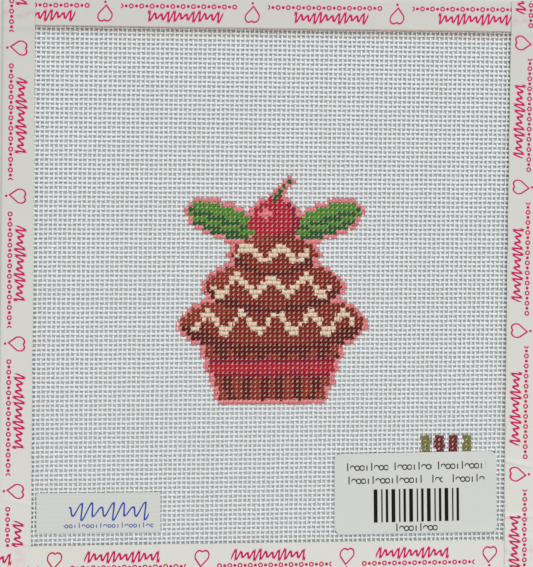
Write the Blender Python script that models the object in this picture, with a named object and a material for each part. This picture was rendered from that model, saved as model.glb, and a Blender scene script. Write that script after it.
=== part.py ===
"""A painted needlepoint canvas: an open-mesh ground, its four edges bound in folded tape, and two stuck labels.

The canvas lies flat with its painted side up. +X runs to its right, +Y to its top edge and +Z up.
The origin is under the middle of the canvas, at the level that it lies on.
"""

import math

import bmesh
import bpy
from mathutils import Matrix, Vector

# Driving dimensions, in metres
BOUND_WIDTH = 0.1653  # across the canvas, over its binding
BOUND_LENGTH = 0.1772
SIDE_LEAN = 0.0107  # how far the side edges lean to the right for each metre upwards
CANVAS_THICKNESS = 0.0008
TAPE_COVER = 0.0097  # how far the folded tape covers each face, from its own fold
TAPE_THICKNESS = 0.00014
GAP = 0.00005  # between neighbouring layers
FOLD_RADIUS = 0.0002  # at the two corners of the fold
FOLD_STEPS = 4  # facets in each corner of the fold
RAMP_LENGTH = 0.0020  # over which a tape climbs onto the tape that it crosses

LABEL_THICKNESS = 0.0001
LARGE_LABEL_SIZE = (0.0508, 0.0251)
LARGE_LABEL_CENTRE = (0.0442, -0.0640)
LARGE_LABEL_TURN = math.radians(0.5)
LARGE_LABEL_CORNER = 0.0023
SMALL_LABEL_SIZE = (0.0376, 0.0122)
SMALL_LABEL_CENTRE = (-0.0535, -0.0688)
SMALL_LABEL_TURN = math.radians(-0.2)
SMALL_LABEL_CORNER = 0.0002
CORNER_STEPS = 6  # facets in a label's rounded corner

# Worked out from the driving dimensions
LAYER = TAPE_THICKNESS + GAP
LEAF = TAPE_COVER - LAYER  # of tape over the canvas, from the canvas's cut edge
HALF_WIDTH = BOUND_WIDTH / 2 - LAYER  # of the canvas inside its binding
HALF_LENGTH = BOUND_LENGTH / 2 - LAYER
MIDDLE = CANVAS_THICKNESS / 2 + 2 * LAYER  # height of the canvas's middle plane
LABEL_MIDDLE = MIDDLE + (CANVAS_THICKNESS + LABEL_THICKNESS) / 2 + GAP

# Colour, roughness and metallic value of each material
CANVAS_FINISH = ((0.62, 0.65, 0.65), 0.85, 0.0)
TAPE_FINISH = ((0.62, 0.61, 0.57), 0.7, 0.0)
PAPER_FINISH = ((0.68, 0.70, 0.66), 0.6, 0.0)

# Each tape runs clockwise along one edge: the way in from that edge, half the canvas's size that way,
# half the edge's length, and whether the tape climbs onto another at its start and at its end
TAPES = {
    "tape_top": ((0, -1), HALF_LENGTH, HALF_WIDTH, False, False),
    "tape_left": ((1, 0), HALF_WIDTH, HALF_LENGTH, False, True),
    "tape_bottom": ((0, 1), HALF_LENGTH, HALF_WIDTH, False, True),
    "tape_right": ((-1, 0), HALF_WIDTH, HALF_LENGTH, True, True),
}


def clear_scene():
    for old in list(bpy.data.objects):
        bpy.data.objects.remove(old)


def material(name, finish):
    colour, roughness, metallic = finish
    made = bpy.data.materials.new(name)
    made.use_nodes = True
    surface = made.node_tree.nodes["Principled BSDF"]
    surface.inputs["Base Color"].default_value = (*colour, 1.0)
    surface.inputs["Roughness"].default_value = roughness
    surface.inputs["Metallic"].default_value = metallic
    return made


def add_object(name, bm, finish):
    """An object of that name from a bmesh, with its own material."""
    bmesh.ops.recalc_face_normals(bm, faces=bm.faces)
    mesh = bpy.data.meshes.new(name)
    bm.to_mesh(mesh)
    bm.free()
    mesh.materials.append(material(name, finish))
    made = bpy.data.objects.new(name, mesh)
    bpy.context.scene.collection.objects.link(made)
    return made


def thicken(sheet, thickness):
    """Turns an open sheet into a closed solid, half of it on each side of the sheet."""
    solidify = sheet.modifiers.new("thickness", "SOLIDIFY")
    solidify.thickness = thickness
    solidify.offset = 0.0
    solidify.use_even_offset = True


def lean(bm):
    """Leans a shape that was made square, as the cut canvas leans."""
    for vertex in bm.verts:
        vertex.co.x += SIDE_LEAN * vertex.co.y


def make_canvas():
    bm = bmesh.new()
    bmesh.ops.create_cube(bm, size=1.0)
    bmesh.ops.scale(bm, vec=(2 * HALF_WIDTH, 2 * HALF_LENGTH, CANVAS_THICKNESS), verts=bm.verts)
    bmesh.ops.translate(bm, vec=(0.0, 0.0, MIDDLE), verts=bm.verts)
    lean(bm)
    add_object("canvas", bm, CANVAS_FINISH)


def fold_section(level):
    """The folded tape's middle line from its front leaf to its back leaf.

    Each point is (distance in from the canvas's cut edge, height above the canvas's middle plane).
    Level 0 lies on the canvas, and level 1 on another tape."""
    height = CANVAS_THICKNESS / 2 + GAP + TAPE_THICKNESS / 2 + level * LAYER
    spine = -(GAP + TAPE_THICKNESS / 2)
    front = [(LEAF, height)]
    for step in range(FOLD_STEPS + 1):
        angle = math.pi / 2 * step / FOLD_STEPS
        inwards = spine + FOLD_RADIUS * (1 - math.sin(angle))
        upwards = height - FOLD_RADIUS * (1 - math.cos(angle))
        front.append((inwards, upwards))
    back = [(inwards, -upwards) for inwards, upwards in reversed(front)]
    return front + back


def end_stations(half_edge, climbs):
    """(distance from the middle of the edge, level) where a tape bends and ends, going outwards."""
    if not climbs:
        return [(half_edge, 0)]
    crossing = half_edge - LEAF - 4 * GAP
    return [(crossing - RAMP_LENGTH, 0), (crossing, 1), (half_edge + LAYER, 1)]


def make_tape(name, inwards, half_across, half_edge, climbs_at_start, climbs_at_end):
    """A tape folded over one edge of the canvas, round both of its faces."""
    inwards = Vector((*inwards, 0.0))
    along = Vector((-inwards.y, inwards.x, 0.0))
    edge = Vector((0.0, 0.0, MIDDLE)) - inwards * half_across
    start = [(-distance, level) for distance, level in reversed(end_stations(half_edge, climbs_at_start))]
    bm = bmesh.new()
    rows = []
    for distance, level in start + end_stations(half_edge, climbs_at_end):
        station = edge + along * distance
        rows.append([bm.verts.new(station + inwards * u + Vector((0, 0, z))) for u, z in fold_section(level)])
    for row, following in zip(rows, rows[1:]):
        for corners in zip(row, row[1:], following[1:], following):
            bm.faces.new(corners)
    lean(bm)
    thicken(add_object(name, bm, TAPE_FINISH), TAPE_THICKNESS)


def make_label(name, size, centre, turn, corner):
    """A paper label that lies on the canvas."""
    bm = bmesh.new()
    bmesh.ops.create_grid(bm, x_segments=1, y_segments=1, size=0.5)
    bmesh.ops.scale(bm, vec=(*size, 1.0), verts=bm.verts)
    bmesh.ops.bevel(bm, geom=bm.verts[:], offset=corner, segments=CORNER_STEPS, profile=0.5, affect="VERTICES")
    bmesh.ops.rotate(bm, matrix=Matrix.Rotation(turn, 3, "Z"), verts=bm.verts)
    bmesh.ops.translate(bm, vec=(*centre, LABEL_MIDDLE), verts=bm.verts)
    thicken(add_object(name, bm, PAPER_FINISH), LABEL_THICKNESS)


def main():
    clear_scene()
    make_canvas()
    for name, run in TAPES.items():
        make_tape(name, *run)
    make_label("label_large", LARGE_LABEL_SIZE, LARGE_LABEL_CENTRE, LARGE_LABEL_TURN, LARGE_LABEL_CORNER)
    make_label("label_small", SMALL_LABEL_SIZE, SMALL_LABEL_CENTRE, SMALL_LABEL_TURN, SMALL_LABEL_CORNER)


main()
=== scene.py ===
"""Looks of a painted needlepoint canvas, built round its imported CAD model.

The file is laid out as an add-on and is run as a script. One operator makes each group of pieces,
and main() calls them in order. Sizes are in metres, in the CAD model's own frame: +X runs to the
right of the canvas, +Y to its top edge, and +Z up from the table that it lies on.
"""

import math

import bpy
import numpy as np
from bpy.props import FloatProperty, FloatVectorProperty, IntProperty, PointerProperty
from mathutils import Matrix, Vector


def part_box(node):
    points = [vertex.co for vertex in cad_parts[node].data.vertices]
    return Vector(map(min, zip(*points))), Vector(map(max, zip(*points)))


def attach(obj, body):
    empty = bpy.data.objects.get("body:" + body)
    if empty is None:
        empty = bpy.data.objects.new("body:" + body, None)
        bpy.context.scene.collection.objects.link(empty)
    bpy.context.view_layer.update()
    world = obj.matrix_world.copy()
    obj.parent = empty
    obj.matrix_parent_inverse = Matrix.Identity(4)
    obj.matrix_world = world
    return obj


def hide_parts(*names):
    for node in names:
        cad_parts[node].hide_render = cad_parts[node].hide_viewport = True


bl_info = {
    "name": "Needlepoint Canvas",
    "version": (1, 0, 0),
    "blender": (4, 5, 0),
    "location": "3D View > Sidebar > Needlepoint",
    "description": "Weaves, paints, binds and labels a small needlepoint canvas",
    "category": "Object",
}

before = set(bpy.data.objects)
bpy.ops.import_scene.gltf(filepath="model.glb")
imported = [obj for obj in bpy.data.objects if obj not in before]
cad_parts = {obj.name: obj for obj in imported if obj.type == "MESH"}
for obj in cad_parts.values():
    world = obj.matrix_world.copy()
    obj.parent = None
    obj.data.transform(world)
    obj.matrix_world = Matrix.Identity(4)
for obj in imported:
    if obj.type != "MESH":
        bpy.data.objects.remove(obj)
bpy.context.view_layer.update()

MM = 0.001
ROOT = "root"
BAKE_MAP = "OFBake"  # the UV map that each piece's surface is laid out on

# The canvas solid says where the weave, its binding and its labels lie
CANVAS_LOW, CANVAS_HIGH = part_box("canvas")
CANVAS_MIDDLE = (CANVAS_LOW.z + CANVAS_HIGH.z) / 2
CANVAS_THICKNESS = CANVAS_HIGH.z - CANVAS_LOW.z
HALF_LENGTH = (CANVAS_HIGH.y - CANVAS_LOW.y) / 2
SIDE_LEAN = 0.0107  # how far the side edges lean to the right for each metre upwards
HALF_WIDTH = (CANVAS_HIGH.x - CANVAS_LOW.x) / 2 - SIDE_LEAN * HALF_LENGTH

# How the four binding tapes lie, each running anticlockwise round the canvas, in millimetres
TAPES = {
    "top": {
        "inwards": (0, -1),
        "climbs": (False, False),
        "extra_cover": (-0.1, 0.0, -0.25),
        "print_place": (7.3, 0.35, 1.05),
        "creases": ((-31.0, 0.1, 0.05),),
    },
    "left": {
        "inwards": (1, 0),
        "climbs": (True, False),
        "extra_cover": (-0.06, -0.1, -0.06),
        "print_place": (-27.6, 0.25, 0.25),
        "creases": ((64.9, 0.22, 0.12), (31.0, -0.1, 0.04)),
    },
    "bottom": {
        "inwards": (0, 1),
        "climbs": (True, False),
        "extra_cover": (0.2, 0.15, -0.35),
        "print_place": (23.4, 0.65, 0.65),
        "creases": ((9.0, -0.15, 0.05),),
    },
    "right": {
        "inwards": (-1, 0),
        "climbs": (True, True),
        "extra_cover": (0.1, 0.2, -0.2),
        "print_place": (30.8, 1.15, 1.15),
        "creases": ((-55.7, 0.22, 0.2), (-71.9, 0.0, 0.3)),
    },
}

# The paints, in the order of their numbers on the threads. Number 0 is bare thread
PAINTS = (
    "outline",
    "cherry",
    "cherry_shade",
    "leaf",
    "leaf_shade",
    "cake",
    "cake_shade",
    "cake_light",
    "cream",
    "olive",
    "russet",
)


def srgb(red, green, blue):
    """A linear colour from the usual 0 to 255 levels."""
    linear = []
    for level in (red, green, blue):
        share = level / 255
        linear.append(share / 12.92 if share <= 0.04045 else ((share + 0.055) / 1.055) ** 2.4)
    return tuple(linear)


def length_property(name, description, default):
    return FloatProperty(name=name, description=description, default=default, unit="LENGTH", precision=5)


def colour_property(name, description, *levels):
    return FloatVectorProperty(
        name=name, description=description, default=srgb(*levels), subtype="COLOR", min=0.0, max=1.0
    )


class WeaveSettings(bpy.types.PropertyGroup):
    """Sizes and colours of the bare woven canvas."""

    column_pitch: length_property("Column pitch", "Between neighbouring upright threads", 1.4369 * MM)
    row_pitch: length_property("Row pitch", "Between neighbouring level threads", 1.4121 * MM)
    columns: IntProperty(name="Columns", description="Upright threads on each side of the middle", default=56)
    rows: IntProperty(name="Rows", description="Level threads on each side of the middle", default=62)
    middle_column: FloatProperty(
        name="Middle column", description="Where the canvas's middle lies, in columns", default=-0.012
    )
    middle_row: FloatProperty(
        name="Middle row", description="Where the canvas's middle lies, in rows", default=0.147
    )
    lean: FloatProperty(
        name="Lean", description="How far the upright threads lean to the right, for each metre up", default=0.01755
    )
    level_width: length_property("Level width", "Width of a level thread", 0.74 * MM)
    upright_width: length_property("Upright width", "Width of an upright thread", 0.60 * MM)
    paint_swelling: length_property("Paint swelling", "How much wider paint makes a thread", 0.14 * MM)
    film: FloatProperty(
        name="Film", description="Share of a painted hole that a film of paint closes", default=1.0, subtype="FACTOR"
    )
    thickness: length_property("Thickness", "Thickness of a thread", 0.30 * MM)
    level_crimp: length_property("Level crimp", "How far a level thread rises and falls", 0.15 * MM)
    sag: length_property("Sag", "How far the cloth sinks inside its binding", 0.32 * MM)
    bound: length_property("Bound", "How much of each edge the binding covers", 9.5 * MM)
    upright_crimp: length_property("Upright crimp", "How far an upright thread rises and falls", 0.21 * MM)
    sway: length_property("Sway", "How far a thread strays sideways", 0.045 * MM)
    unevenness: FloatProperty(
        name="Unevenness", description="How much a thread's width varies", default=0.07, subtype="FACTOR"
    )
    bands: IntProperty(name="Bands", description="Pieces that the woven cloth is made in", default=6)
    thread: colour_property("Thread", "Sized cotton", 240, 243, 248)
    # Painted shade: the darker colour of bare thread between its plies, also mixed in at random.
    thread_shade: colour_property("Thread shade", "The cotton between its plies", 223, 226, 230)
    # The browner colour that the threads take beside the top tape's edge.
    top_edge_brown: colour_property("Glue", "Dried glue on the first threads below the top tape", 196, 168, 150)


class PaintSettings(bpy.types.PropertyGroup):
    """Colours of the picture on the canvas."""

    outline: colour_property("Outline", "One stitch round the picture", 246, 140, 150)
    cherry: colour_property("Cherry", "Cherry and ribbon", 196, 16, 56)
    cherry_shade: colour_property("Cherry shade", "Their dark side", 150, 6, 46)
    leaf: colour_property("Leaf", "Leaves", 76, 150, 46)
    leaf_shade: colour_property("Leaf shade", "Veins and stem", 28, 98, 42)
    cake: colour_property("Cake", "Icing", 140, 34, 22)
    cake_shade: colour_property("Cake shade", "Under the icing's folds and in the pleats", 100, 12, 12)
    cake_light: colour_property("Cake light", "On the icing's folds and the pleats", 156, 50, 34)
    undercoat: colour_property("Undercoat", "Thin film of paint across the holes", 255, 218, 202)
    cream: colour_property("Cream", "Drizzled lines", 246, 222, 196)
    olive: colour_property("Olive", "Colour key", 130, 134, 74)
    russet: colour_property("Russet", "Colour key", 122, 48, 52)


class TapeSettings(bpy.types.PropertyGroup):
    """Sizes and colours of the folded binding tape."""

    cover: length_property("Cover", "How far the tape covers each face, from its fold", 9.7 * MM)
    thickness: length_property("Thickness", "Thickness of the tape", 0.14 * MM)
    gap: length_property("Gap", "Between neighbouring layers", 0.05 * MM)
    ramp: length_property("Ramp", "Over which the tape climbs onto another", 2.0 * MM)
    fold_bulge: length_property("Fold bulge", "How far the fold stands out from the canvas", 0.25 * MM)
    waves: length_property("Waves", "How far the loose parts of the front lift", 0.10 * MM)
    repeat: length_property("Repeat", "Length of the print's repeat", 44.7 * MM)
    cloth: colour_property("Cloth", "The tape itself", 207, 206, 200)
    ink: colour_property("Ink", "Print", 202, 2, 94)
    # The browner colour of a narrow band along the top tape's inner cut edge.
    top_edge_brown: colour_property("Glue", "Dried glue along the top tape's cut edge", 176, 152, 136)


class LabelSettings(bpy.types.PropertyGroup):
    """Sizes and colours of the stuck paper labels."""

    large_corner: length_property("Large corner", "Corner radius of the large label", 2.3 * MM)
    small_corner: length_property("Small corner", "Corner radius of the small label", 0.2 * MM)
    thickness: length_property("Thickness", "Thickness of the paper", 0.1 * MM)
    curl: length_property("Curl", "How far a loose edge lifts", 0.6 * MM)
    sunk: length_property("Sunk", "How far a label settles between the threads", 0.07 * MM)
    paper: colour_property("Paper", "Label paper", 214, 215, 212)
    black: colour_property("Black", "Stripes", 2, 2, 3)
    grey: colour_property("Grey", "Lines", 56, 56, 58)
    blue: colour_property("Blue", "Ornament on the small label", 18, 62, 168)


class StageSettings(bpy.types.PropertyGroup):
    """Floor, light and camera."""

    floor: colour_property("Floor", "Plain floor", 216, 217, 211)
    eye: FloatVectorProperty(
        name="Eye", description="Where the camera is", default=(-0.01956, 0.00314, 0.30766), subtype="XYZ", unit="LENGTH"
    )
    gaze: FloatVectorProperty(
        name="Gaze", description="The way that the camera looks", default=(0.05653, -0.00702, -0.99838), subtype="XYZ"
    )
    roll: FloatProperty(name="Roll", description="Turn of the camera about its gaze", default=-0.0009, unit="ROTATION")
    lens: FloatProperty(name="Lens", description="Focal length in millimetres", default=63.492)
    key_power: FloatProperty(name="Key power", description="Power of the key light in watts", default=11.2)
    fill_strength: FloatProperty(name="Fill", description="Strength of the light from all round", default=0.64)


# ---------------------------------------------------------------------------------------------------------
# Shader recipes
# ---------------------------------------------------------------------------------------------------------


class Value:
    """An output of a shader node. Each Python operator on it adds a Math node."""

    def __init__(self, recipe, socket):
        self.recipe = recipe
        self.socket = socket

    def __add__(self, other):
        return self.recipe.maths("ADD", self, other)

    __radd__ = __add__

    def __sub__(self, other):
        return self.recipe.maths("SUBTRACT", self, other)

    def __rsub__(self, other):
        return self.recipe.maths("SUBTRACT", other, self)

    def __mul__(self, other):
        return self.recipe.maths("MULTIPLY", self, other)

    __rmul__ = __mul__

    def __truediv__(self, other):
        return self.recipe.maths("DIVIDE", self, other)

    def __gt__(self, other):
        return self.recipe.maths("GREATER_THAN", self, other)

    def __lt__(self, other):
        return self.recipe.maths("LESS_THAN", self, other)

    def __abs__(self):
        return self.recipe.maths("ABSOLUTE", self)

    def __pow__(self, other):
        return self.recipe.maths("POWER", self, other)

    def __mod__(self, other):
        return self.recipe.maths("FLOORED_MODULO", self, other)


class Recipe:
    """A material's shader nodes, added one at a time."""

    def __init__(self, name):
        self.material = bpy.data.materials.new(name)
        self.material.use_nodes = True
        self.tree = self.material.node_tree
        self.surface = self.tree.nodes["Principled BSDF"]

    def feed(self, socket, value):
        """Links a value to an input, or sets the input to a plain number, colour or vector."""
        if isinstance(value, Value):
            self.tree.links.new(value.socket, socket)
        else:
            socket.default_value = value

    def node(self, kind, settings, inputs, output=0):
        """Adds a node, makes its settings, feeds its inputs and returns one of its outputs."""
        made = self.tree.nodes.new(kind)
        for name, value in settings.items():
            if name == "stops":
                set_stops(made.color_ramp, value)
            else:
                setattr(made, name, value)
        for name, value in inputs.items():
            self.feed(made.inputs[name], value)
        return Value(self, made.outputs[output])

    def maths(self, operation, *values, clamp=False):
        settings = {"operation": operation, "use_clamp": clamp}
        return self.node("ShaderNodeMath", settings, dict(enumerate(values)))

    def vectors(self, operation, *values):
        return self.node("ShaderNodeVectorMath", {"operation": operation}, dict(enumerate(values)))

    def mix(self, share, first, second, blend="MIX"):
        """Mixes two colours."""
        settings = {"data_type": "RGBA", "blend_type": blend, "clamp_result": True}
        return self.node("ShaderNodeMix", settings, {0: share, 6: first, 7: second}, output=2)

    def noise(self, place, scale, detail=2.0, roughness=0.5):
        """Noise from 0 to 1 at so many features for each unit of the place."""
        inputs = {"Vector": place, "Scale": scale, "Detail": detail, "Roughness": roughness}
        return self.node("ShaderNodeTexNoise", {}, inputs)

    def attribute(self, name, output=2):
        return self.node("ShaderNodeAttribute", {"attribute_name": name}, {}, output)

    def split(self, vector):
        """The three parts of a vector."""
        made = self.tree.nodes.new("ShaderNodeSeparateXYZ")
        self.feed(made.inputs[0], vector)
        return [Value(self, output) for output in made.outputs]

    def place(self):
        """Where the surface is, in metres."""
        return self.node("ShaderNodeTexCoord", {}, {}, output=3)

    def share(self, value):
        """The value, kept from 0 to 1."""
        return self.maths("ADD", value, 0.0, clamp=True)

    def line(self, distance, width, blur):
        """1 within half a line's width of its middle, and 0 outside, with a soft edge."""
        return self.maths("MULTIPLY_ADD", abs(distance), -1 / blur, width / 2 / blur + 0.5, clamp=True)

    def between(self, value, low, high, blur):
        """1 from low to high, and 0 outside, with a soft edge."""
        return self.line(value - (low + high) / 2, high - low, blur)

    def sine(self, value):
        return self.maths("SINE", value)

    def length(self, across, along):
        return self.maths("SQRT", across * across + along * along)

    def bump(self, height, distance, strength=1.0):
        """A bumped normal from a height from 0 to 1 and the distance that 1 stands for."""
        inputs = {"Height": height, "Distance": distance, "Strength": strength}
        return self.node("ShaderNodeBump", {}, inputs)

    def finish(self, **inputs):
        """Feeds the surface's inputs, named with underscores for spaces, and returns the material."""
        for name, value in inputs.items():
            self.feed(self.surface.inputs[name.replace("_", " ")], value)
        return self.material


def set_stops(ramp, stops):
    """Gives a ramp hard-edged stops, each a position and a colour."""
    ramp.interpolation = "CONSTANT"
    while len(ramp.elements) < len(stops):
        ramp.elements.new(1.0)
    for element, (position, colour) in zip(ramp.elements, stops):
        element.position = position
        element.color = opaque(colour)


def opaque(colour):
    return (*colour, 1.0)


def scaled(colour, factor):
    """A colour made lighter or darker."""
    return tuple(level * factor for level in colour)


# ---------------------------------------------------------------------------------------------------------
# Tubes: threads and folded tapes are both made as closed tubes of rings
# ---------------------------------------------------------------------------------------------------------


class Tubes:
    """Closed tubes with the same number of rings and sides, and where each lies on the bake's map.

    points has the shape (tube, ring, side, 3). Rings follow the tube and sides go round it, so that
    ring direction x side direction points outwards. Sides are paired across for the end caps."""

    def __init__(self, points, side_shares, sharp_sides=()):
        self.points = points
        self.tubes, self.rings, self.sides = points.shape[:3]
        self.side_shares = side_shares
        self.sharp_sides = sharp_sides
        self.left = np.zeros((self.tubes, self.rings - 1))
        self.right = np.zeros((self.tubes, self.rings - 1))
        self.low = np.zeros((self.tubes, self.rings - 1))
        self.height = 1.0
        self.margin = 0.003
        self.point_values = {}
        self.face_values = {}

    def chart(self, tube, first, last, left, right, low):
        """Lays a tube's rings, from first to last, along a row of the bake's map."""
        steps = np.linspace(left + self.margin, right - self.margin, last - first + 1)
        self.left[tube, first:last] = steps[:-1]
        self.right[tube, first:last] = steps[1:]
        self.low[tube, first:last] = low

    def wall_faces(self):
        """Corner numbers of the side faces, shape (tube, ring, side, 4), without the piece's first number."""
        tube = np.arange(self.tubes)[:, None, None] * self.rings * self.sides
        ring = np.arange(self.rings - 1)[None, :, None] * self.sides
        side = np.arange(self.sides)[None, None, :]
        following = (side + 1) % self.sides
        start = tube + ring
        corners = (start + side, start + self.sides + side, start + self.sides + following, start + following)
        return np.stack(np.broadcast_arrays(*corners), axis=-1)

    def wall_map(self):
        """Places of the side faces' corners on the bake's map."""
        shares = np.asarray(self.side_shares) * self.height
        left, right, low = (part[:, :, None] for part in (self.left, self.right, self.low))
        near = low + shares[None, None, :-1]
        far = low + shares[None, None, 1:]
        across = np.stack(np.broadcast_arrays(left, right, right, left), axis=-1)
        along = np.stack(np.broadcast_arrays(near, near, far, far), axis=-1)
        across = np.broadcast_to(across, along.shape)
        return np.stack((across, along), axis=-1)

    def cap_faces(self):
        """Corner numbers of both ends' faces, shape (tube, end, face, 4)."""
        pairs = self.sides // 2 - 1
        tube = np.arange(self.tubes)[:, None] * self.rings * self.sides
        side = np.arange(pairs)[None, :]
        opposite = self.sides - 1 - side
        first = np.stack(np.broadcast_arrays(tube + side, tube + side + 1, tube + opposite - 1, tube + opposite), -1)
        last = first[..., ::-1] + (self.rings - 1) * self.sides
        return np.stack((first, last), axis=1)

    def cap_map(self):
        """Places of the ends' corners on the bake's map, in the margins beside the tube's own."""
        pairs = self.sides // 2 - 1
        steps = np.linspace(0.1, 0.9, pairs + 1) * self.height
        near, far = steps[:-1], steps[1:]
        places = []
        for end, step in ((self.left[:, 0], -self.margin), (self.right[:, -1], self.margin)):
            outer = (end + 0.7 * step)[:, None]
            inner = (end + 0.2 * step)[:, None]
            low = self.low[:, 0 if step < 0 else -1][:, None]
            across = np.stack(np.broadcast_arrays(outer, outer, inner, inner, near)[:4], axis=-1)
            along = np.stack(np.broadcast_arrays(low + near, low + far, low + far, low + near), axis=-1)
            if step > 0:
                along = along[..., ::-1]
            places.append(np.stack((across, along), axis=-1))
        return np.stack(places, axis=1)

    def sharp_edges(self, edges):
        """Which of these edges, as pairs of corner numbers from 0, end a cap or run along a sharp side."""
        ring = edges // self.sides % self.rings
        side = edges % self.sides
        same_ring = ring[:, 0] == ring[:, 1]
        at_end = same_ring & ((ring[:, 0] == 0) | (ring[:, 0] == self.rings - 1))
        along = ~same_ring & np.isin(side[:, 0], self.sharp_sides)
        return at_end | along


def make_tube_piece(name, groups, material):
    """One mesh object from several groups of tubes, with its bake map and attributes."""
    starts = np.cumsum([0] + [group.points.size // 3 for group in groups])
    points = np.concatenate([group.points.reshape(-1, 3) for group in groups])
    faces = []
    places = []
    for group, start in zip(groups, starts):
        faces += [group.wall_faces().reshape(-1, 4) + start, group.cap_faces().reshape(-1, 4) + start]
        places += [group.wall_map().reshape(-1, 2), group.cap_map().reshape(-1, 2)]
    faces = np.concatenate(faces)

    mesh = bpy.data.meshes.new(name)
    mesh.vertices.add(len(points))
    mesh.vertices.foreach_set("co", points.ravel())
    mesh.loops.add(faces.size)
    mesh.loops.foreach_set("vertex_index", faces.ravel())
    mesh.polygons.add(len(faces))
    mesh.polygons.foreach_set("loop_start", np.arange(len(faces)) * 4)
    mesh.update(calc_edges=True)
    mesh.shade_smooth()
    bake_map = mesh.uv_layers.new(name=BAKE_MAP)
    bake_map.uv.foreach_set("vector", np.concatenate(places).ravel())

    edges = np.empty(len(mesh.edges) * 2, np.int64)
    mesh.edges.foreach_get("vertices", edges)
    edges = edges.reshape(-1, 2)
    sharp = np.zeros(len(edges), bool)
    for group, start, end in zip(groups, starts, starts[1:]):
        own = (edges[:, 0] >= start) & (edges[:, 0] < end)
        sharp[own] = group.sharp_edges(edges[own] - start)
    mesh.attributes.new("sharp_edge", "BOOLEAN", "EDGE").data.foreach_set("value", sharp)

    for attribute in groups[0].point_values:
        values = np.concatenate([group.point_values[attribute].ravel() for group in groups])
        write_attribute(mesh, attribute, "POINT", values, len(points))
    for attribute in groups[0].face_values:
        values = np.concatenate([spread_to_faces(group, attribute) for group in groups])
        write_attribute(mesh, attribute, "FACE", values, len(faces))
    mesh.materials.append(material)
    made = bpy.data.objects.new(name, mesh)
    bpy.context.scene.collection.objects.link(made)
    return made


def spread_to_faces(group, attribute):
    """A value for each ring of each tube, given to every face round it and to the ends."""
    values = group.face_values[attribute]
    walls = np.repeat(values.ravel(), group.sides)
    caps = np.repeat(values[:, [0, -1]].ravel(), group.sides // 2 - 1)
    return np.concatenate((walls, caps))


def write_attribute(mesh, name, domain, values, count):
    """Writes one number, or a vector of three, for each point or face."""
    is_vector = values.size == 3 * count
    made = mesh.attributes.new(name, "FLOAT_VECTOR" if is_vector else "FLOAT", domain)
    made.data.foreach_set("vector" if is_vector else "value", values.astype(np.float32))


# ---------------------------------------------------------------------------------------------------------
# The painted picture, stitch by stitch
# ---------------------------------------------------------------------------------------------------------


def reach(x, y, middle, radii, turn=0.0):
    """How far out a stitch is in an ellipse: 0 in its middle and 1 on its edge."""
    across = (x - middle[0]) * math.cos(turn) + (y - middle[1]) * math.sin(turn)
    along = (y - middle[1]) * math.cos(turn) - (x - middle[0]) * math.sin(turn)
    return math.hypot(across / radii[0], along / radii[1])


def paint_on_cherry(x, y):
    """The cherry and its stem."""
    if 19.0 < y < 24.5 and abs(x - 0.12 * (y - 19.0) ** 2) < 0.8:
        return "leaf_shade"
    if reach(x, y, (0.0, 15.0), (5.3, 5.3)) > 1:
        return None
    if reach(x, y, (-2.0, 17.0), (1.4, 1.2)) < 1:
        return "outline"
    if reach(x, y, (-1.2, 16.2), (5.0, 5.0)) > 1:
        return "cherry_shade"
    return "cherry"


def paint_on_leaf(x, y):
    """A leaf on each side of the cherry."""
    turn = 0.3
    out = reach(abs(x), y, (11.2, 15.6), (7.6, 3.3), turn)
    if out > 1:
        return None
    above_vein = (y - 15.6) - math.tan(turn) * (abs(x) - 11.2)
    if abs(above_vein) < 0.6 or above_vein < -1.6:
        return "leaf_shade"
    return "leaf"


def paint_on_icing(x, y):
    """Three folds of icing, the topmost in front, each with a drizzled line."""
    for middle, radii, phase in (((0, 8), (9.0, 4.6), 0.3), ((0, 1), (14.6, 5.6), 2.0), ((0, -7), (19.4, 6.6), 0.9)):
        out = reach(x, y, middle, radii)
        if out > 1:
            continue
        height = y - middle[1]
        drizzle = 0.4 + 0.3 * radii[1] * math.sin(x * 0.86 + phase)
        if out < 0.9 and abs(height - drizzle) < 0.95:
            return "cream"
        if out > 0.74 and height < 0:
            return "cake_shade"
        if out > 0.62 and height > 0 and x < 0:
            return "cake_light"
        return "cake"
    return None


def paint_on_case(x, y):
    """The pleated case, with a ribbon round it."""
    low, high = -24.0, -8.0
    half_width = 11.0 + 0.3 * (y - low)
    if not low < y < high or abs(x) > half_width:
        return None
    if -18.2 < y < -14.2:
        return "cherry_shade" if y < -17.0 or y > -15.4 else "cherry"
    pleat = math.floor(x / half_width * 6.5 + 0.5)
    return "cake_shade" if pleat % 2 else "cake_light"


def paint_on_key(column, row):
    """Four swatches of a colour key, in the lower right corner of the canvas."""
    across = column - 33
    if not 0 <= across < 12 or not -38 <= row <= -33 or across % 3 == 2:
        return None
    return "olive" if across // 3 in (0, 3) else "russet"


def paint_on_stitch(column, row):
    """The paint that a stitch gets, before the picture's outline."""
    x, y = column, row + 1
    for shape in (paint_on_icing, paint_on_cherry, paint_on_leaf, paint_on_case):
        if found := shape(x, y):
            return found
    return paint_on_key(column, row)


def paint_numbers(columns, rows):
    """The paint's number on each stitch, as an array over rows and columns from the lowest up."""
    numbers = np.zeros((2 * rows + 1, 2 * columns + 1), int)
    for row in range(-rows, rows + 1):
        for column in range(-columns, columns + 1):
            paint = paint_on_stitch(column, row)
            if paint:
                numbers[row + rows, column + columns] = PAINTS.index(paint) + 1
    picture = numbers > 0
    picture[: rows - 30] = False
    beside = np.zeros_like(picture)
    for step in (-1, 1):
        beside |= np.roll(picture, step, axis=0) | np.roll(picture, step, axis=1)
    numbers[beside & (numbers == 0)] = PAINTS.index("outline") + 1
    return numbers


# ---------------------------------------------------------------------------------------------------------
# The woven canvas
# ---------------------------------------------------------------------------------------------------------

THREAD_SIDES = 6
RINGS_PER_STITCH = 3


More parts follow.
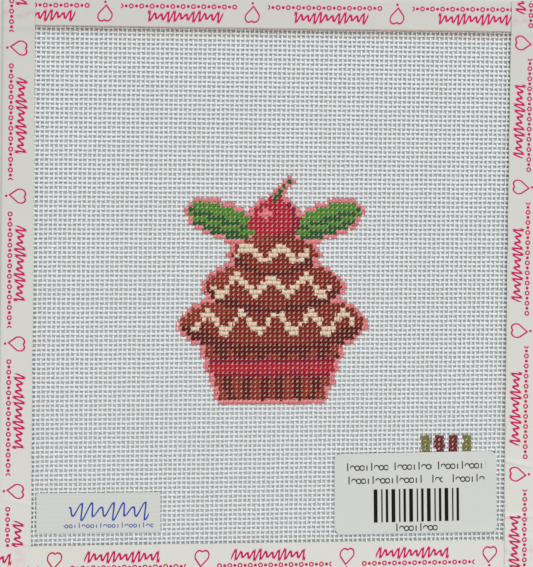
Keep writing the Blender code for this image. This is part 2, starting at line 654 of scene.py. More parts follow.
class Unevenness:
    """Slow random changes along each thread, the same however the thread is cut up."""

    lengths = np.array((41.0, 13.0, 5.3, 2.9))  # of the waves, in stitches
    amounts = np.array((0.6, 0.7, 0.6, 0.5))

    def __init__(self, threads, seed):
        random = np.random.default_rng(seed)
        self.phases = random.uniform(0, 2 * math.pi, (threads, 4))
        self.lengths = self.lengths * random.uniform(0.8, 1.2, (threads, 4))
        self.offsets = random.normal(0, 0.5, threads)

    def along(self, threads, stations):
        """About -1 to 1, for each thread and station."""
        angles = 2 * math.pi * stations[None, :, None] / self.lengths[threads][:, None, :]
        waves = self.amounts * np.sin(angles + self.phases[threads][:, None, :])
        return waves.sum(axis=-1) + self.offsets[threads][:, None]


def stitch_place(weave, column, row):
    """X and Y of a stitch, which need not be a whole number of columns and rows."""
    y = (row - weave.middle_row) * weave.row_pitch
    x = (column - weave.middle_column) * weave.column_pitch + weave.lean * y
    return x, y


def cloth_height(weave, x, y):
    """Height of the cloth's middle, which sinks towards the table beside its binding."""
    beside = HALF_WIDTH - weave.bound - abs(x - SIDE_LEAN * y)
    above = HALF_LENGTH - weave.bound - abs(y)
    return CANVAS_MIDDLE - weave.sag * smooth_step((np.minimum(beside, above) / MM + 0.3) / 1.7)


def thread_shape(centres, sideways, half_width, half_thickness, film, film_height):
    """Rings of an oval section round each centre. centres has the shape (thread, ring, 3).

    film is how far a film of paint runs out into the holes, on the side where side is 1 and where it is -1.
    Its edge lies at the cloth's own height, so that the threads that cross it stand out of it."""
    angles = math.radians(30) + np.arange(THREAD_SIDES) * 2 * math.pi / THREAD_SIDES
    side, up = np.sin(angles), np.cos(angles)
    flat_top = half_thickness / math.cos(math.radians(30))
    reached = half_width[:, :, None] * side
    for width, way in zip(film, (1, -1)):
        reached[:, :, np.isclose(side, way)] += way * width[:, :, None]
    points = centres[:, :, None, :] + reached[..., None] * np.array(sideways)
    points[..., 2] += flat_top * up
    for width, way in zip(film, (1, -1)):
        edge = np.isclose(side, way) & (width[:, :, None] > 0)
        points[..., 2] = np.where(edge, film_height[:, :, None], points[..., 2])
    return points, side, up


def thread_tubes(weave, level, threads, stations, unevenness, numbers, seed):
    """Tubes for level or upright threads, through the given stations.

    threads are rows or columns, and stations are columns or rows along them."""
    sway, breadth = unevenness
    order = threads + (weave.rows if level else weave.columns)
    index, station = np.meshgrid(threads.astype(float), stations, indexing="ij")
    x, y = stitch_place(weave, station, index) if level else stitch_place(weave, index, station)
    height = cloth_height(weave, x, y)
    centres = np.stack((x, y, height), axis=-1)
    centres[..., 1 if level else 0] += weave.sway * sway.along(order, stations)
    centres[..., 1] = centres[..., 1].clip(-HALF_LENGTH, HALF_LENGTH)
    crimp = weave.level_crimp if level else weave.upright_crimp
    over = np.cos(math.pi * (station + index + (0 if level else 1)))
    centres[..., 2] += crimp * over / math.cos(math.pi / 6)
    width = weave.level_width if level else weave.upright_width
    own = np.broadcast_to(order[:, None], station.shape)
    limit = weave.columns if level else weave.rows
    nearest = np.rint(station).astype(int).clip(-limit, limit) + limit
    painted = (numbers[own, nearest] if level else numbers[nearest, own]) > 0
    half_width = width / 2 * (1 + weave.unevenness * breadth.along(order, stations))
    half_width = half_width + weave.paint_swelling / 2 * painted
    sideways = (0, 1, 0) if level else (-1, 0, 0)
    film = np.zeros((2, *station.shape))
    if level:
        beyond = [np.roll(numbers > 0, -way, axis=0)[own, nearest] for way in (1, -1)]
        film = weave.film * np.array(beyond) * painted * (weave.row_pitch / 2 - half_width)
    in_hole = abs(station - np.rint(station)) > 0.3
    film_height = height - np.where(in_hole, 0.0, 0.3 * weave.thickness)
    points, side, up = thread_shape(centres, sideways, half_width, weave.thickness / 2, film, film_height)

    tubes = Tubes(points, np.linspace(0, 1, THREAD_SIDES + 1))
    shape = points.shape[:3]
    parts = (station[:, :, None], side[None, None, :], up[None, None, :])
    tubes.point_values["yarn"] = np.stack([np.broadcast_to(part, shape) for part in parts], axis=-1)
    random = np.random.default_rng(seed)
    strand = random.uniform(0, 1, 512)[order]
    tubes.point_values["strand"] = np.broadcast_to(strand[:, None, None], shape)
    at_edge = [np.isclose(side, way) & ((width * in_hole)[:, :, None] > 0) for width, way in zip(film, (1, -1))]
    tubes.point_values["film"] = np.logical_or(*at_edge)

    middles = (stations[1:] + stations[:-1]) / 2
    strays = random.choice((-0.4, 0.0, 0.0, 0.0, 0.0, 0.4), (len(threads), len(middles)))
    across = np.rint(middles + strays).astype(int)
    across = across.clip(-limit, limit) + limit
    found = numbers[own[:, 1:], across] if level else numbers[across, own[:, 1:]]
    tubes.face_values["paint"] = (found + 0.5) / (len(PAINTS) + 1)
    return tubes


def weave_band(weave, name, first_row, last_row, unevenness, numbers, material):
    """The cloth from one row to another, with both sets of threads."""
    rows = np.arange(first_row, last_row + 1)
    columns = np.arange(-weave.columns, weave.columns + 1)
    ring = 1 / RINGS_PER_STITCH
    ends = weave.columns + 2.5 * ring
    level_stations = np.linspace(-ends, ends, 2 * weave.columns * RINGS_PER_STITCH + 6)
    low, high = first_row - 0.5, last_row + 0.5
    upright_stations = np.linspace(low, high, round((high - low) * RINGS_PER_STITCH) + 1)
    level = thread_tubes(weave, True, rows, level_stations, unevenness[:2], numbers, 3)
    upright = thread_tubes(weave, False, columns, upright_stations, unevenness[2:], numbers, 4)

    across = 5  # upright threads beside each other in a row of the map
    map_rows = len(rows) + math.ceil(len(columns) / across)
    level.height = upright.height = 0.9 / map_rows
    for number in range(len(rows)):
        level.chart(number, 0, level.rings - 1, 0.0, 1.0, (number + 0.05) / map_rows)
    for number in range(len(columns)):
        left = number % across / across
        bottom = (len(rows) + number // across + 0.05) / map_rows
        upright.chart(number, 0, upright.rings - 1, left, left + 1 / across, bottom)
    return make_tube_piece(name, [level, upright], material)


def thread_finish(weave, paints):
    """Sized cotton thread, with stitch-by-stitch paint that wears thin on its underside."""
    recipe = Recipe("painted canvas thread")
    place = recipe.place()
    along, side, up = recipe.split(recipe.attribute("yarn", output=1))
    strand = recipe.attribute("strand")
    number = recipe.attribute("paint")

    turn = recipe.maths("ARCTAN2", side, up)
    ply = recipe.sine(turn * 2 + along * 11 + strand * 40) * 0.5 + 0.5
    fibre = recipe.noise(place, 9000.0, detail=3.0, roughness=0.7)
    blotch = recipe.noise(place, 260.0, detail=3.0)
    brush = recipe.noise(place, 1500.0, detail=2.0)

    # Bare thread is painted darker between its plies, a painted shade, and its tone also varies at random with fibres
    # and strands.
    light = recipe.share(ply * 0.35 + fibre * 0.5 + strand * 0.3)
    bare = recipe.mix(light, opaque(weave.thread_shade), opaque(weave.thread))
    stops = [(0.0, weave.thread)]
    for position, paint in enumerate(PAINTS, start=1):
        stops.append((position / (len(PAINTS) + 1), getattr(paints, paint)))
    colour = recipe.node("ShaderNodeValToRGB", {"stops": stops}, {"Fac": number})
    # The paint is darker between the plies, a painted shade, and varies at random with the brush.
    depth = recipe.share(brush * 0.7 + ply * 0.5)
    colour = recipe.mix(0.45 - depth * 0.45, colour, opaque((0.3, 0.3, 0.3)), blend="MULTIPLY")
    painted = number > 1 / (len(PAINTS) + 1)
    _, towards_top, height = recipe.split(place)
    seam = HALF_LENGTH - weave.bound
    # The threads beside the top tape's edge are made browner, in blotches.
    top_edge_brown_share = recipe.between(towards_top, seam - 1.6 * MM, seam + 4 * MM, 1.0 * MM) * (0.1 + blotch * 0.5)
    bare = recipe.mix(top_edge_brown_share, bare, opaque(weave.top_edge_brown))
    middle = CANVAS_MIDDLE - weave.sag
    # Painted highlight: painted threads are lightened, in blotches, where they stand highest.
    crest_highlight = recipe.share((height - middle - 0.22 * MM) / (0.15 * MM)) * brush * 0.08
    # Painted shade: painted threads are darkened where they lie low, between the crests.
    valley_shade = recipe.share((middle + 0.12 * MM - height) / (0.25 * MM)) * 0.4
    colour = recipe.mix(crest_highlight, colour, opaque(paints.undercoat))
    colour = recipe.mix(valley_shade, colour, opaque((0.0, 0.0, 0.0)))
    film = recipe.share((recipe.attribute("film") - 0.17) * 6 + (blotch - 0.5) * 0.6)
    flecks = recipe.share((fibre - 0.66) * 5) * 0.12
    film_colour = recipe.mix(brush * 0.4, opaque(paints.undercoat), colour)
    coat = recipe.mix(recipe.share(film + flecks), colour, film_colour)
    surface = recipe.mix(painted * recipe.share(up * 2 + 1.6), bare, coat)
    return recipe.finish(
        Base_Color=surface,
        Roughness=0.75 - painted * 0.3 - fibre * 0.1,
        Normal=recipe.bump(ply * 0.6 + fibre * 0.4, 0.04 * MM, 0.5),
        Specular_IOR_Level=0.12,
        Subsurface_Weight=0.3,
        Subsurface_Radius=(1.0, 1.0, 1.0),
        Subsurface_Scale=0.4 * MM,
    )


# ---------------------------------------------------------------------------------------------------------
# The binding tape
# ---------------------------------------------------------------------------------------------------------


def tape_section(tape):
    """The folded tape's middle line, from its back edge round the fold to its front edge.

    Each point is: the distance in from the canvas's cut edge, and the share of the way to the front or the back leaf's
    height."""
    leaf = tape.cover - tape.thickness - tape.gap
    front = np.linspace(0.0, leaf, 12)
    back = np.linspace(leaf, 0.0, 6)
    turns = np.radians(np.linspace(-90, 90, 9)[1:-1])
    inwards = np.concatenate((back, -tape.fold_bulge * np.cos(turns), front))
    rise = np.concatenate((-np.ones(len(back)), np.sin(turns), np.ones(len(front))))
    return inwards, rise


def smooth_step(value):
    value = np.clip(value, 0.0, 1.0)
    return value * value * (3 - 2 * value)


def slow_noise(along, seed, length, count=7):
    """A smooth random line from about -1 to 1, with waves of about that length."""
    random = np.random.default_rng(seed)
    total = np.zeros_like(along)
    for _ in range(count):
        wave = length * random.uniform(0.5, 2.2)
        total += np.sin(2 * math.pi * along / wave + random.uniform(0, 2 * math.pi))
    return total / math.sqrt(count)


def make_tape(tape, side, seed, material):
    """A printed tape folded over one edge of the canvas."""
    lie = TAPES[side]
    climbs_first, climbs_last = lie["climbs"]
    inwards = np.array((*lie["inwards"], 0.0))
    reading = np.array((inwards[1], -inwards[0], 0.0))
    across_half, half_edge = (HALF_LENGTH, HALF_WIDTH) if inwards[1] else (HALF_WIDTH, HALF_LENGTH)
    layer = tape.thickness + tape.gap
    leaf = tape.cover - layer
    first = -half_edge - (layer if climbs_first else 0.0)
    last = half_edge + (layer if climbs_last else 0.0)
    along = np.linspace(first, last, round((last - first) / (0.3 * MM)) + 1)
    crossing = half_edge - leaf - 4 * tape.gap
    level = np.zeros_like(along)
    if climbs_first:
        level += smooth_step((-along - crossing) / tape.ramp + 1)
    if climbs_last:
        level += smooth_step((along - crossing) / tape.ramp + 1)

    section_in, rise = tape_section(tape)
    flat = CANVAS_THICKNESS / 2 + tape.gap + tape.thickness / 2
    height = flat + level[:, None] * layer
    on_front = rise >= 1
    front_share = np.where(on_front, np.clip(section_in / leaf, 0, 1), 0.0)
    extra = np.polyval(np.polyfit((-1, 0, 1), lie["extra_cover"], 2), along / half_edge) * MM
    extra += slow_noise(along, seed, 11 * MM) * 0.06 * MM
    depth = section_in[None, :] + extra[:, None] * front_share[None, :]
    heights = CANVAS_MIDDLE + rise[None, :] * height

    # The loose parts of the front leaf lift a little, but not where another tape lies on them
    loose = np.ones_like(along)
    if not climbs_first:
        loose *= smooth_step((along + crossing - 2 * MM) / (6 * MM))
    if not climbs_last:
        loose *= smooth_step((crossing - 2 * MM - along) / (6 * MM))
    belly = 0.5 + 0.5 * slow_noise(along, seed + 1, 24 * MM)
    edge_lift = np.clip(0.35 + 0.5 * slow_noise(along, seed + 2, 17 * MM), 0, 1.2)
    lift = belly[:, None] * np.sin(math.pi * front_share)[None, :] + edge_lift[:, None] * front_share[None, :] ** 4
    lift = lift.clip(0) * tape.waves
    for place, slant, height in lie["creases"]:
        distance = along[:, None] / MM - place - slant * (depth - leaf / 2) / MM
        ridge = smooth_step(1 + distance / 0.5) * smooth_step(1 - distance / 1.6)
        lift += height * MM * ridge * smooth_step(front_share * 4)[None, :]
    heights = heights + np.where(on_front[None, :], lift * loose[:, None], 0.0)

    middle = along[:, None, None] * reading + (depth - across_half)[:, :, None] * inwards
    middle[..., 2] = heights
    middle[..., 0] += SIDE_LEAN * middle[..., 1]
    down_tape = np.gradient(middle, axis=0)
    over_tape = np.gradient(middle, axis=1)
    normals = np.cross(down_tape, over_tape)
    normals /= np.linalg.norm(normals, axis=-1, keepdims=True)
    outside = middle + normals * tape.thickness / 2
    inside = middle - normals * tape.thickness / 2
    points = np.concatenate((outside, inside[:, ::-1]), axis=1)[None]

    count = len(section_in)
    outer_shares = np.linspace(0, 0.82, count)
    inner_shares = np.linspace(0.835, 0.985, count)
    shares = np.concatenate((outer_shares, inner_shares, [1.0]))
    made = Tubes(points, shares, sharp_sides=(0, count - 1, count, 2 * count - 1))
    made.height = 0.48
    made.margin = 0.004
    halfway = made.rings // 2
    made.chart(0, 0, halfway, 0.0, 1.0, 0.01)
    made.chart(0, halfway, made.rings - 1, 0.0, 1.0, 0.51)

    section_steps = np.hypot(np.diff(section_in), np.diff(rise) * flat)
    from_back = np.concatenate(([0.0], np.cumsum(section_steps)))
    from_fold = from_back - np.interp(0.0, rise[5:14], from_back[5:14])
    across = np.concatenate((from_fold, from_fold[::-1]))
    under = np.where(level > 0.4, half_edge - np.abs(along), 1.0)
    print_start, *print_rises = lie["print_place"]
    print_rise = np.interp(along, (-half_edge, half_edge), print_rises)[:, None] * MM
    across = across - np.sign(across) * smooth_step(np.abs(across) / MM) * print_rise
    run = along - print_start * MM
    parts = np.broadcast_arrays(run[:, None], across, under[:, None])
    made.point_values["tape_place"] = np.stack(parts, axis=-1)[None]
    return make_tube_piece(f"binding_{side}", [made], material)


def heart_line(recipe, x, y, size):
    """Distance from the outline of a heart that stands on the origin, in the units of x and y."""
    x = abs(x) / size
    y = y / size
    lobe = recipe.length(x - 0.25, y - 0.75) - math.sqrt(2) / 4
    flank = (x - y) * math.sqrt(0.5)
    upper = (x + y) > 1.0
    return (abs(lobe) * upper + abs(flank) * (1 - upper)) * size


def bead_row(recipe, x, y, pitch, radius):
    """A row of small rings and dots by turns."""
    out = recipe.length((x % pitch) - pitch / 2, y)
    ring = recipe.line(out - radius, 0.42, 0.16)
    dot = recipe.line(out, 1.7 * radius, 0.16)
    odd = ((x % (2 * pitch)) - pitch) > 0.0
    return ring * odd + dot * (1 - odd)


def mark_row(recipe, x, y, pitch, height, stroke):
    """A row of rings, arches and upright strokes by turns, as small print looks from afar."""
    cell = (x % pitch) - pitch / 2
    turn = (x % (5 * pitch)) / pitch
    ring = recipe.line(recipe.length(cell, y) - height * 0.4, stroke, 0.12)
    arch = ring * (y > -0.1 * height)
    tall = recipe.line(cell, stroke, 0.12) * recipe.between(y, -0.5 * height, 0.9 * height, 0.12)
    short = recipe.line(cell, stroke, 0.12) * recipe.between(y, -0.5 * height, 0.45 * height, 0.12)
    marks = tall * (turn < 1.0) + arch * (turn > 1.0) * (turn < 2.0) + ring * (turn > 2.0) * (turn < 4.0)
    return marks + short * (turn > 4.0)


def scroll_line(recipe, x, y, wave, rise, swell, swell_length):
    """Distance from a slanted wavy line along x, whose height swells and shrinks."""
    x = x - y * 0.3
    height = recipe.sine(x * (2 * math.pi / swell_length)) * swell + rise
    steps = 2 * math.pi / wave
    middle = recipe.sine(x * steps) * height
    slope = recipe.maths("COSINE", x * steps) * height * steps
    return (y - middle) / recipe.maths("SQRT", slope * slope + 1.0)


def tape_finish(tape):
    """Smooth woven tape with a small repeating print of hearts, scrolls and beads."""
    recipe = Recipe("printed binding tape")
    place = recipe.place()
    along, across, under = recipe.split(recipe.attribute("tape_place", output=1))
    x = recipe.maths("WRAP", along / MM, (tape.repeat / MM) - 4.3, -4.3)
    y = abs(across) / MM

    heart = recipe.line(heart_line(recipe, x - (y - 5.0) * 0.12, (y - 2.6) * 0.8, 3.5), 0.42, 0.16)
    bud = recipe.line(recipe.length(x, y - 1.6), 0.8, 0.16)
    scroll = recipe.line(scroll_line(recipe, x, y - 5.9, 1.9, 0.9, 0.4, 7.6), 0.7, 0.18)
    scroll = scroll * recipe.between(x, 9.0, 31.9, 0.2)
    beads = bead_row(recipe, x, y - 2.8, 1.57, 0.57) * recipe.between(x, 4.7, 40.0, 0.1)
    ink = recipe.maths("MAXIMUM", recipe.maths("MAXIMUM", heart, bud), recipe.maths("MAXIMUM", scroll, beads))
    speckle = recipe.noise(place, 5200.0, detail=2.0)
    ink = recipe.share(ink * (0.8 + speckle * 0.45))

    warp = recipe.sine(across / (0.30 * MM) * (2 * math.pi)) * 0.5 + 0.5
    weft = recipe.sine(along / (0.36 * MM) * (2 * math.pi)) * 0.5 + 0.5
    # The cloth's tone varies at random over several millimetres, which also paints in the shade of its gentle
    # undulations.
    tone_and_undulation_shade = recipe.noise(place, 120.0, detail=4.0)
    fine = recipe.noise(place, 4200.0, detail=2.0)
    light = recipe.share(tone_and_undulation_shade * 0.6 + fine * 0.25 + warp * weft * 0.15)
    cloth = recipe.mix(light, opaque(scaled(tape.cloth, 0.93)), opaque(scaled(tape.cloth, 1.04)))
    towards_right, towards_top, _ = recipe.split(place)
    # Painted light: the cloth is made lighter towards the bottom, where the light falls more brightly on it.
    painted_light_towards_bottom = recipe.share(0.5 - towards_top / (2 * HALF_LENGTH))
    cloth = recipe.mix(painted_light_towards_bottom, cloth, opaque(scaled(tape.cloth, 1.2)))
    # A narrow browner band along the top tape's inner cut edge, between the side tapes.
    edge = HALF_LENGTH - tape.cover
    top_edge_brown = recipe.between(towards_top, edge - 0.5 * MM, edge + 0.6 * MM, 0.15 * MM)
    top_edge_brown = top_edge_brown * (abs(towards_right - SIDE_LEAN * edge) < HALF_WIDTH - tape.cover + 0.2 * MM)
    cloth = recipe.mix(top_edge_brown * 0.75, cloth, opaque(tape.top_edge_brown))
    smudges = recipe.noise(place, 500.0, detail=1.0)
    ghost = recipe.line(under / MM - 6.1, 2.4, 1.6) + recipe.line(under / MM - 3.0, 1.2, 1.2) * 0.5
    ghost = ghost * recipe.share((smudges - 0.35) * 3.5) * 0.16
    cloth = recipe.mix(ghost, cloth, opaque(tape.ink))
    colour = recipe.mix(ink, cloth, opaque(tape.ink))
    return recipe.finish(
        Base_Color=colour,
        Roughness=0.74 - fine * 0.12,
        Normal=recipe.bump(warp * weft * 0.5 + fine * 0.5, 0.02 * MM, 0.6),
        Specular_IOR_Level=0.15,
    )


# ---------------------------------------------------------------------------------------------------------
# Tools for modelling by hand
# ---------------------------------------------------------------------------------------------------------


def deselect_all():
    if bpy.context.object and bpy.context.object.mode != "OBJECT":
        bpy.ops.object.mode_set(mode="OBJECT")
    bpy.ops.object.select_all(action="DESELECT")


def select_points(made, chosen):
    """Selects, in edit mode, the points whose place passes a test."""
    bpy.ops.mesh.select_all(action="DESELECT")
    bpy.ops.object.mode_set(mode="OBJECT")
    for point in made.data.vertices:
        point.select = chosen(point.co)
    bpy.ops.object.mode_set(mode="EDIT")
    bpy.ops.mesh.select_mode(type="VERT")


# ---------------------------------------------------------------------------------------------------------
# The labels
# ---------------------------------------------------------------------------------------------------------


def label_frame(node, turn):
    """Middle, half width and half length of a label's solid, which is turned by a small angle."""
    low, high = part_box(node)
    middle = (low + high) / 2
    across, along = (high.x - low.x) / 2, (high.y - low.y) / 2
    cosine, sine = math.cos(turn), abs(math.sin(turn))
    spread = cosine * cosine - sine * sine
    half_width = (across * cosine - along * sine) / spread
    half_length = (along * cosine - across * sine) / spread
    return middle, half_width, half_length


def cut_across(half, step, normal):
    """Cuts the selected sheet into strips, with lines square to normal."""
    for number in range(-int(half / step), int(half / step) + 1):
        bpy.ops.mesh.select_all(action="SELECT")
        bpy.ops.mesh.bisect(plane_co=Vector(normal) * step * number, plane_no=normal)


def make_label(labels, name, node, turn, corner, sunk, lifts, material, back):
    """A paper label: a cut sheet with rounded corners, lifted along its loose edges, then thickened.

    It is sunk with the cloth under it. Each lift is a point, a direction that points away from the stuck
    part, and a height."""
    middle, half_width, half_length = label_frame(node, turn)
    deselect_all()
    bpy.ops.mesh.primitive_plane_add(size=1.0, location=(0, 0, 0))
    made = bpy.context.object
    made.name = made.data.name = name
    bpy.ops.object.mode_set(mode="EDIT")
    bpy.ops.transform.resize(value=(2 * half_width, 2 * half_length, 1.0))
    bpy.ops.mesh.bevel(offset=corner, segments=6, profile=0.5, affect="VERTICES")
    cut_across(half_width, 1.3 * MM, (1, 0, 0))
    cut_across(half_length, 1.3 * MM, (0, 1, 0))
    for point, direction, height in lifts:
        start = Vector((point[0] * half_width, point[1] * half_length, 0))
        outwards = Vector((*direction, 0)).normalized()
        for step in range(8):
            line = start + outwards * step * 0.8 * MM
            select_points(made, lambda co: (co - line).dot(outwards) > 0)
            bpy.ops.transform.translate(value=(0, 0, height * (2 * step + 1) / 64))
    bpy.ops.mesh.select_all(action="SELECT")
    bpy.ops.transform.rotate(value=-turn, orient_axis="Z", center_override=(0, 0, 0))
    bpy.ops.transform.translate(value=middle - Vector((0, 0, sunk)))
    bpy.ops.object.mode_set(mode="OBJECT")
    made.data.materials.append(material)
    made.data.materials.append(back)
    thicken = made.modifiers.new("paper", "SOLIDIFY")
    thicken.thickness = labels.thickness
    thicken.offset = 0.0
    thicken.material_offset = 1
    bpy.ops.object.modifier_apply(modifier=thicken.name)
    bpy.ops.object.shade_smooth_by_angle(angle=math.radians(40))
    return made


def label_place(recipe, node, turn):
    """X and Y on a label, in millimetres from its middle."""
    middle, _, _ = label_frame(node, turn)
    centred = recipe.vectors("SUBTRACT", recipe.place(), tuple(middle))
    cosine, sine = math.cos(turn) / MM, math.sin(turn) / MM
    x, y, _ = recipe.split(centred)
    return x * cosine + y * sine, y * cosine - x * sine


def paper_colour(recipe, labels):
    """Slightly uneven paper."""
    place = recipe.place()
    cloud = recipe.noise(place, 70.0, detail=4.0)
    pulp = recipe.noise(place, 3600.0, detail=3.0)
    light = recipe.share(cloud * 0.7 + pulp * 0.3)
    paper = recipe.mix(light, opaque(scaled(labels.paper, 0.94)), opaque(scaled(labels.paper, 1.03)))
    return paper, pulp


def label_back_finish(labels):
    """Bare paper, on a label's stuck side."""
    recipe = Recipe("label back paper")
    paper, pulp = paper_colour(recipe, labels)
    return recipe.finish(Base_Color=paper, Roughness=0.7 - pulp * 0.1, Specular_IOR_Level=0.2)


def large_label_finish(labels):
    """A plain label with two rows of small grey marks over a block of even stripes, and one more row of marks under
    it.
    """
    recipe = Recipe("large label paper")
    x, y = label_place(recipe, "label_large", LARGE_TURN)
    paper, pulp = paper_colour(recipe, labels)
    marks = 0.0
    for row, words in ((8.0, ((-22.0, -8.6), (-7.2, 5.0), (6.4, 22.0))), (3.9, ((-21.6, 2.2), (4.6, 8.4), (11.0, 21.6)))):
        for left, right in words:
            marks = marks + recipe.between(x, left, right, 0.1) * mark_row(recipe, x - left, y - row, 1.5, 1.75, 0.38)
    stripe = (x + 100.0) % 5.55
    stripes = recipe.between(stripe, 0.3, 0.75, 0.1)
    stripes = stripes + recipe.between(stripe, 1.7, 2.5, 0.1)
    stripes = stripes + recipe.between(stripe, 3.5, 4.7, 0.1)
    stripes = stripes * recipe.between(x, -13.9, 13.9, 0.1) * recipe.between(y, -9.0, 1.3, 0.1)
    marks = marks + mark_row(recipe, x - 0.7, y + 11.0, 1.5, 1.75, 0.38) * recipe.between(x, -6.8, 6.8, 0.1)
    colour = recipe.mix(recipe.share(marks), paper, opaque(labels.grey))
    colour = recipe.mix(recipe.share(stripes), colour, opaque(labels.black))
    return recipe.finish(
        Base_Color=colour,
        Roughness=0.62 - pulp * 0.12,
        Normal=recipe.bump(pulp, 0.01 * MM, 0.5),
        Specular_IOR_Level=0.2,
    )


def small_label_finish(labels):
    """A plain label with a blue scroll over a row of small marks. The weave shows through as a bump."""
    recipe = Recipe("small label paper")
    x, y = label_place(recipe, "label_small", SMALL_TURN)
    paper, pulp = paper_colour(recipe, labels)
    scroll = recipe.line(scroll_line(recipe, x - 2.9, y - 0.5, 3.2, 1.9, 0.8, 9.4), 0.5, 0.16)
    scroll = scroll * recipe.between(x, -9.0, 15.2, 0.15)
    marks = mark_row(recipe, x, y + 4.1, 1.3, 1.15, 0.3) * recipe.between(x, -10.6, 16.6, 0.1)
    colour = recipe.mix(recipe.share(scroll + marks * 0.9), paper, opaque(labels.blue))
    ribs = recipe.sine(y * (2 * math.pi / 1.41)) * 0.5 + 0.5
    return recipe.finish(
        Base_Color=colour,
        Roughness=0.66 - pulp * 0.1,
        Normal=recipe.bump(ribs * 0.85 + pulp * 0.15, 0.05 * MM, 0.5),
        Specular_IOR_Level=0.2,
    )


LARGE_TURN = math.radians(0.5)
SMALL_TURN = math.radians(-0.2)


# ---------------------------------------------------------------------------------------------------------
# Stage
# ---------------------------------------------------------------------------------------------------------


def make_floor(stage):
    deselect_all()
    bpy.ops.mesh.primitive_plane_add(size=4.0, location=(0, 0, -0.02 * MM))
    floor = bpy.context.object
    floor.name = floor.data.name = "floor"
    recipe = Recipe("floor")
    grain = recipe.noise(recipe.place(), 40.0, detail=3.0)
    colour = recipe.mix(grain, opaque(scaled(stage.floor, 0.98)), opaque(scaled(stage.floor, 1.02)))
    floor.data.materials.append(recipe.finish(Base_Color=colour, Roughness=0.8))


def make_camera(stage):
    camera = bpy.data.objects.new("camera", bpy.data.cameras.new("camera"))
    camera.data.lens = stage.lens
    camera.data.sensor_width = 36.0
    camera.data.clip_start = 0.01
    gaze = Vector(stage.gaze).normalized()
    right = gaze.cross(Vector((0, 1, 0))).normalized()
    above = right.cross(gaze)
    turned = Matrix((right, above, -gaze)).transposed() @ Matrix.Rotation(stage.roll, 3, "Z")
    camera.matrix_world = Matrix.LocRotScale(Vector(stage.eye), turned, None)
    bpy.context.scene.collection.objects.link(camera)
    bpy.context.scene.camera = camera


def make_lamp(name, place, size, power, colour):
    """An area lamp that points at the canvas's middle."""
    lamp = bpy.data.lights.new(name, "AREA")
    lamp.size = size
    lamp.energy = power
    lamp.color = colour
    made = bpy.data.objects.new(name, lamp)
    made.location = place
    made.rotation_mode = "QUATERNION"
    made.rotation_quaternion = (-Vector(place)).to_track_quat("-Z", "Y")
    bpy.context.scene.collection.objects.link(made)


def make_light(stage):
    make_lamp("key", (0.4, 0.8, 0.95), 1.4, stage.key_power, (0.95, 0.985, 1.0))
    world = bpy.data.worlds.new("studio")
    world.use_nodes = True
    background = world.node_tree.nodes["Background"]
    background.inputs["Color"].default_value = (1.0, 0.99, 0.95, 1.0)
    background.inputs["Strength"].default_value = stage.fill_strength
    bpy.context.scene.world = world


# ---------------------------------------------------------------------------------------------------------
# Operators and panel
# ---------------------------------------------------------------------------------------------------------


class NEEDLEPOINT_OT_set_stage(bpy.types.Operator):
    """Makes the floor, the light and the camera"""

    bl_idname = "needlepoint.set_stage"
    bl_label = "Set Stage"

    def execute(self, context):
        stage = context.scene.needlepoint_stage
        make_floor(stage)
        make_camera(stage)
        make_light(stage)
        context.scene.view_settings.view_transform = "Standard"
        return {"FINISHED"}


class NEEDLEPOINT_OT_weave_canvas(bpy.types.Operator):
    """Weaves the canvas in bands and paints its picture"""

    bl_idname = "needlepoint.weave_canvas"
    bl_label = "Weave Canvas"

    def execute(self, context):
        weave = context.scene.needlepoint_weave
        material = thread_finish(weave, context.scene.needlepoint_paints)
        numbers = paint_numbers(weave.columns, weave.rows)
        level_count, upright_count = 2 * weave.rows + 1, 2 * weave.columns + 1
        unevenness = [Unevenness(count, seed) for count, seed in zip((level_count,) * 2 + (upright_count,) * 2, range(4))]
        cuts = np.linspace(-weave.rows, weave.rows + 1, weave.bands + 1).round().astype(int)
        for number, (first, following) in enumerate(zip(cuts, cuts[1:]), start=1):
            band = weave_band(weave, f"canvas_weave_{number}", first, following - 1, unevenness, numbers, material)
            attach(band, ROOT)
            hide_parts("canvas")
        return {"FINISHED"}


class NEEDLEPOINT_OT_bind_edges(bpy.types.Operator):
    """Folds a printed tape over each edge"""

    bl_idname = "needlepoint.bind_edges"
    bl_label = "Bind Edges"

    def execute(self, context):
        tape = context.scene.needlepoint_tape
        material = tape_finish(tape)
        for number, side in enumerate(TAPES):
            made = make_tape(tape, side, 20 + 5 * number, material)
            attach(made, ROOT)
            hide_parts(f"tape_{side}")
            edge = HALF_WIDTH if TAPES[side]["inwards"][1] else HALF_LENGTH
            2 * edge
        return {"FINISHED"}


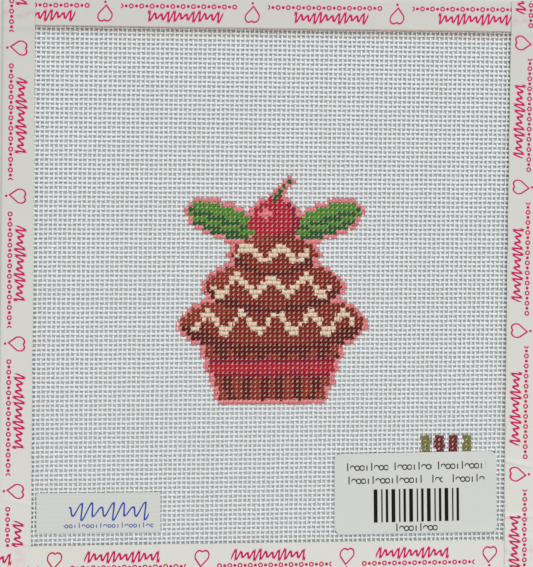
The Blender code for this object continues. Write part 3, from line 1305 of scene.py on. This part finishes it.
class NEEDLEPOINT_OT_stick_labels(bpy.types.Operator):
    """Sticks the two paper labels on the canvas"""

    bl_idname = "needlepoint.stick_labels"
    bl_label = "Stick Labels"

    def execute(self, context):
        labels = context.scene.needlepoint_labels
        sunk = context.scene.needlepoint_weave.sag + labels.sunk
        lifts = (((0.7, -0.75), (0.5, -1.0), labels.curl), ((0.3, -0.85), (0.1, -1.0), 0.5 * labels.curl))
        finishes = (large_label_finish(labels), label_back_finish(labels))
        large = make_label(labels, "large_label", "label_large", LARGE_TURN, labels.large_corner, sunk, lifts, *finishes)
        lifts = (((0.0, -0.7), (0.0, -1.0), 0.25 * labels.curl),)
        finishes = (small_label_finish(labels), finishes[1])
        small = make_label(labels, "small_label", "label_small", SMALL_TURN, labels.small_corner, sunk, lifts, *finishes)
        for made, node in ((large, "label_large"), (small, "label_small")):
            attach(made, ROOT)
            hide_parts(node)
        return {"FINISHED"}


class NEEDLEPOINT_PT_panel(bpy.types.Panel):
    """Lists the operators and their settings"""

    bl_label = "Needlepoint Canvas"
    bl_idname = "NEEDLEPOINT_PT_panel"
    bl_space_type = "VIEW_3D"
    bl_region_type = "UI"
    bl_category = "Needlepoint"

    def draw(self, context):
        for operator, settings in STEPS:
            box = self.layout.box()
            box.operator(operator.bl_idname)
            for group in settings:
                group_settings = getattr(context.scene, group)
                for name in group_settings.bl_rna.properties.keys():
                    if name not in ("rna_type", "name"):
                        box.prop(group_settings, name)


SETTINGS = {
    "needlepoint_stage": StageSettings,
    "needlepoint_weave": WeaveSettings,
    "needlepoint_paints": PaintSettings,
    "needlepoint_tape": TapeSettings,
    "needlepoint_labels": LabelSettings,
}

STEPS = (
    (NEEDLEPOINT_OT_set_stage, ("needlepoint_stage",)),
    (NEEDLEPOINT_OT_weave_canvas, ("needlepoint_weave", "needlepoint_paints")),
    (NEEDLEPOINT_OT_bind_edges, ("needlepoint_tape",)),
    (NEEDLEPOINT_OT_stick_labels, ("needlepoint_labels",)),
)

CLASSES = (*SETTINGS.values(), *(operator for operator, _ in STEPS), NEEDLEPOINT_PT_panel)


def register():
    for each in CLASSES:
        bpy.utils.register_class(each)
    for name, group in SETTINGS.items():
        setattr(bpy.types.Scene, name, PointerProperty(type=group))


def unregister():
    for name in SETTINGS:
        delattr(bpy.types.Scene, name)
    for each in reversed(CLASSES):
        bpy.utils.unregister_class(each)


def main():
    register()
    bpy.ops.needlepoint.set_stage()
    bpy.ops.needlepoint.weave_canvas()
    bpy.ops.needlepoint.bind_edges()
    bpy.ops.needlepoint.stick_labels()


if __name__ == "__main__":
    main()
